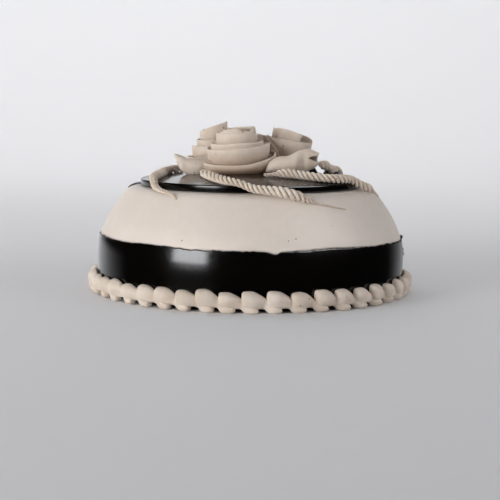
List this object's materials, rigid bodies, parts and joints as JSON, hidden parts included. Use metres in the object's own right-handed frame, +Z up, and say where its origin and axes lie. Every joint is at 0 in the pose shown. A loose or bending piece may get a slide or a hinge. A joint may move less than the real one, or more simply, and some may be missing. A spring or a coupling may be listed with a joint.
{
  "type": "chocolate cream cake",
  "caption": "Whole domed cream cake with a dark glaze band and glazed top, a piped shell border, and piped cream roses, leaves and twisted ropes.",
  "frame": {"origin": "centre of the cake's flat base, where it stands", "axes": "+Z up through the middle of the dome; -Y is the front, +X is to the right seen from the front"},
  "size_m": [0.2278, 0.2276, 0.1156],
  "materials": {
    "cream_coat": "smoothed whipped cream, satin",
    "piped_cream": "piped cream, matte",
    "chocolate_glaze": "mirror glaze, wet gloss"
  },
  "bodies": {
    "root": {"cake_dome": "cream_coat", "glaze_band": "chocolate_glaze", "glaze_top": "chocolate_glaze", "shell_border": "piped_cream", "rose_front": "piped_cream", "rose_back_left": "piped_cream", "rose_right": "piped_cream", "leaf_left": "piped_cream", "leaf_right": "piped_cream", "leaf_back": "piped_cream", "rope_front": "piped_cream", "rope_right": "piped_cream", "rope_left": "piped_cream", "rope_back": "piped_cream"}
  },
  "joints": []
}
